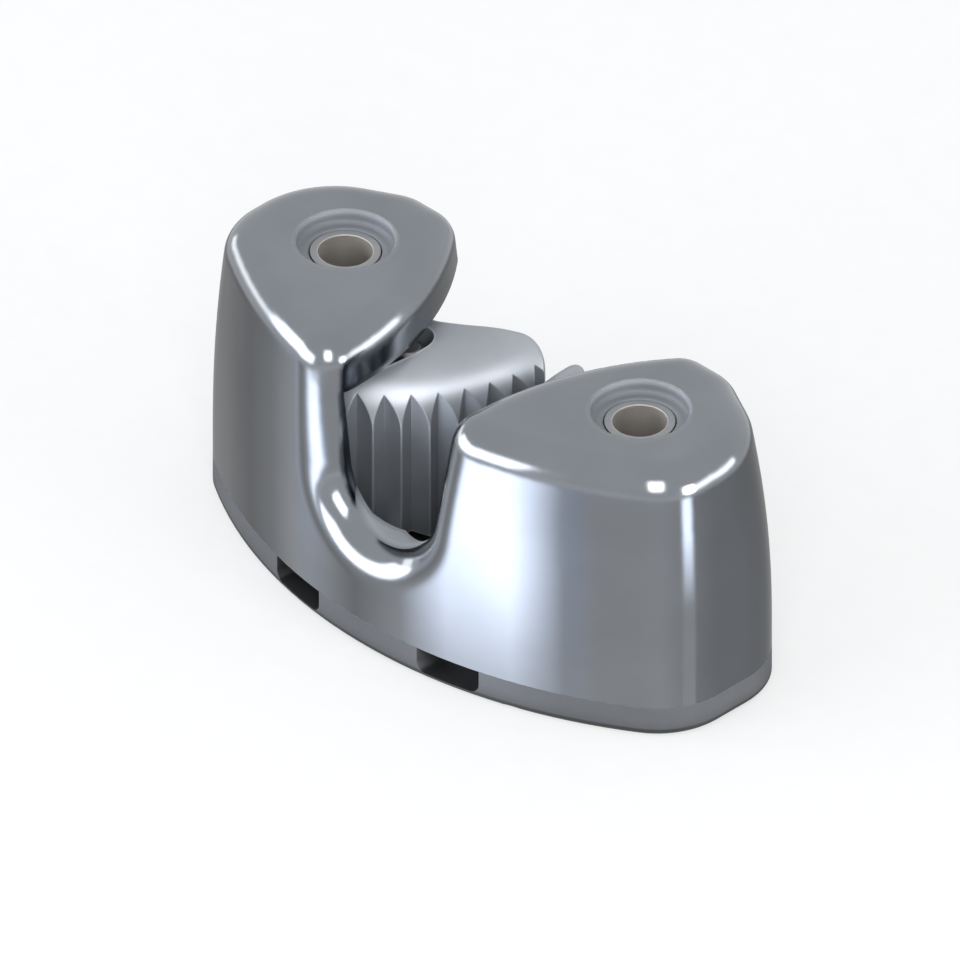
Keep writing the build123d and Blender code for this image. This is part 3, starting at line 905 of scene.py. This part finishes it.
def graded_card():
    """A glowing graded card on the floor round the cleat, which only reflections show. Polished steel shows
    what stands beside it, so the card paints reflections there: a pale strip each side of the front, and grey
    towards the ends."""
    # The housing's plan in mm: the front's arc, and a rounder corner at each end
    arc_radius, arc_y, arc_half_degrees = 50.8, 34.3, 32.6
    corner_radius, corner_x, corner_y, end_y = 7.9, 23.1, -1.85, 1.74
    # Brightness by the direction in degrees in which the camera's look leaves the wall
    levels = [
        (-230, 0.4), (-190, 0.5), (-176, 0.42), (-166, 0.6), (-152, 1.2), (-138, 0.6), (-125, 1.0),
        (-113, 5.0), (-98, 5.5), (-86, 1.1), (-78, 0.95), (-40, 1.0), (-11, 0.85), (-6, 5.0), (3, 5.0),
        (8, 0.7), (45, 0.55), (90, 0.4),
    ]
    # Share of a pale strip's brightness by distance from the wall in mm: high on a wall, far places show
    front_rise = [(4, 0.3), (10, 0.5), (18, 0.75), (28, 1.0)]
    side_rise = [(24, 0.0), (46, 1.0)]
    distances = (1, 5, 9, 13, 18, 24, 32, 40, 46, 60, 80)
    plain, tint = Vector((0.9, 0.9, 0.9)), Vector(linear("#ecf2ff")[:3])
    points, glows, faces = [], [], []
    camera_azimuth = -math.pi / 4
    steps = 360
    for step in range(steps + 1):
        facing = math.radians(-138 + step / 2)
        turn = facing + math.pi / 2
        if abs(math.degrees(turn)) <= arc_half_degrees:
            x, y = arc_radius * math.sin(turn), arc_y - arc_radius * math.cos(turn)
        else:
            x = math.copysign(corner_x, turn) + corner_radius * math.cos(facing)
            y = (corner_y if facing < 0 else end_y) + corner_radius * math.sin(facing)
        away = 2 * facing - camera_azimuth
        level = between(levels, math.degrees(away))
        for distance in distances:
            spot = ((x + distance * math.cos(away)) * MM, (y + distance * math.sin(away)) * MM, CARD_Z)
            points.append(spot)
            share = between(side_rise if away > camera_azimuth else front_rise, distance)
            glow = plain * level if level < 1 else plain + (tint * level - plain) * share
            glows += [*glow, 1.0]
    row = len(distances)
    for step in range(steps + 1):
        for k in range(row - 1):
            start, beside = step * row + k, (step + 1) % (steps + 1) * row + k
            faces.append((start, start + 1, beside + 1, beside))
    mesh = bpy.data.meshes.new("graded_card")
    mesh.from_pydata(points, [], faces)
    mesh.attributes.new("glow", "FLOAT_COLOR", "POINT").data.foreach_set("color", glows)
    material = bpy.data.materials.new("graded_card")
    material.use_nodes = True
    tree = material.node_tree
    tree.nodes.clear()
    glow = add(tree, "ShaderNodeAttribute", {"attribute_name": "glow"})
    emission = add(tree, "ShaderNodeEmission", links={"Color": glow.outputs["Color"]})
    add(tree, "ShaderNodeOutputMaterial", links={"Surface": emission.outputs["Emission"]})
    mesh.materials.append(material)
    card = bpy.data.objects.new("graded_card", mesh)
    card.visible_camera = False
    card.visible_diffuse = False
    card.visible_shadow = False
    bpy.context.scene.collection.objects.link(card)


def camera():
    """The photograph's view: parallel, from the front right, 35 degrees down."""
    data = bpy.data.cameras.new("camera")
    data.type = "ORTHO"
    data.ortho_scale = PICTURE_WIDTH
    body = bpy.data.objects.new("camera", data)
    way = Vector((1, -1, 1)).normalized()
    body.location = Vector(PICTURE_MIDDLE) + way
    body.rotation_euler = way.to_track_quat("Z", "Y").to_euler()
    bpy.context.scene.collection.objects.link(body)
    bpy.context.scene.camera = body


pale_floor()
surround("#fcfdfe", 1.0)
lamp("front_left_softbox", -123.5, 13, 0.55, 0.70, 0.27, 6.0, "#f4f7ff")
lamp("right_softbox", 2, 7, 0.6, 0.17, 0.17, 24.0)
lamp("camera_side_softbox", -45, 34, 0.6, 0.2, 0.32, 8.0)
lamp("left_low_strip", -172, 7, 0.55, 0.32, 0.11, 2.4)
lamp("right_low_strip", 34, 7, 0.55, 0.46, 0.13, 4.5)
jaws = bpy.data.collections.new("jaws")
jaws.objects.link(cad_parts["left_cam"])
jaws.objects.link(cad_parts["right_cam"])
lamp("jaw_softbox", -4, 34, 0.55, 0.5, 0.22, 5.8, only=jaws)
graded_card()
camera()
bpy.context.scene.view_settings.view_transform = "Standard"
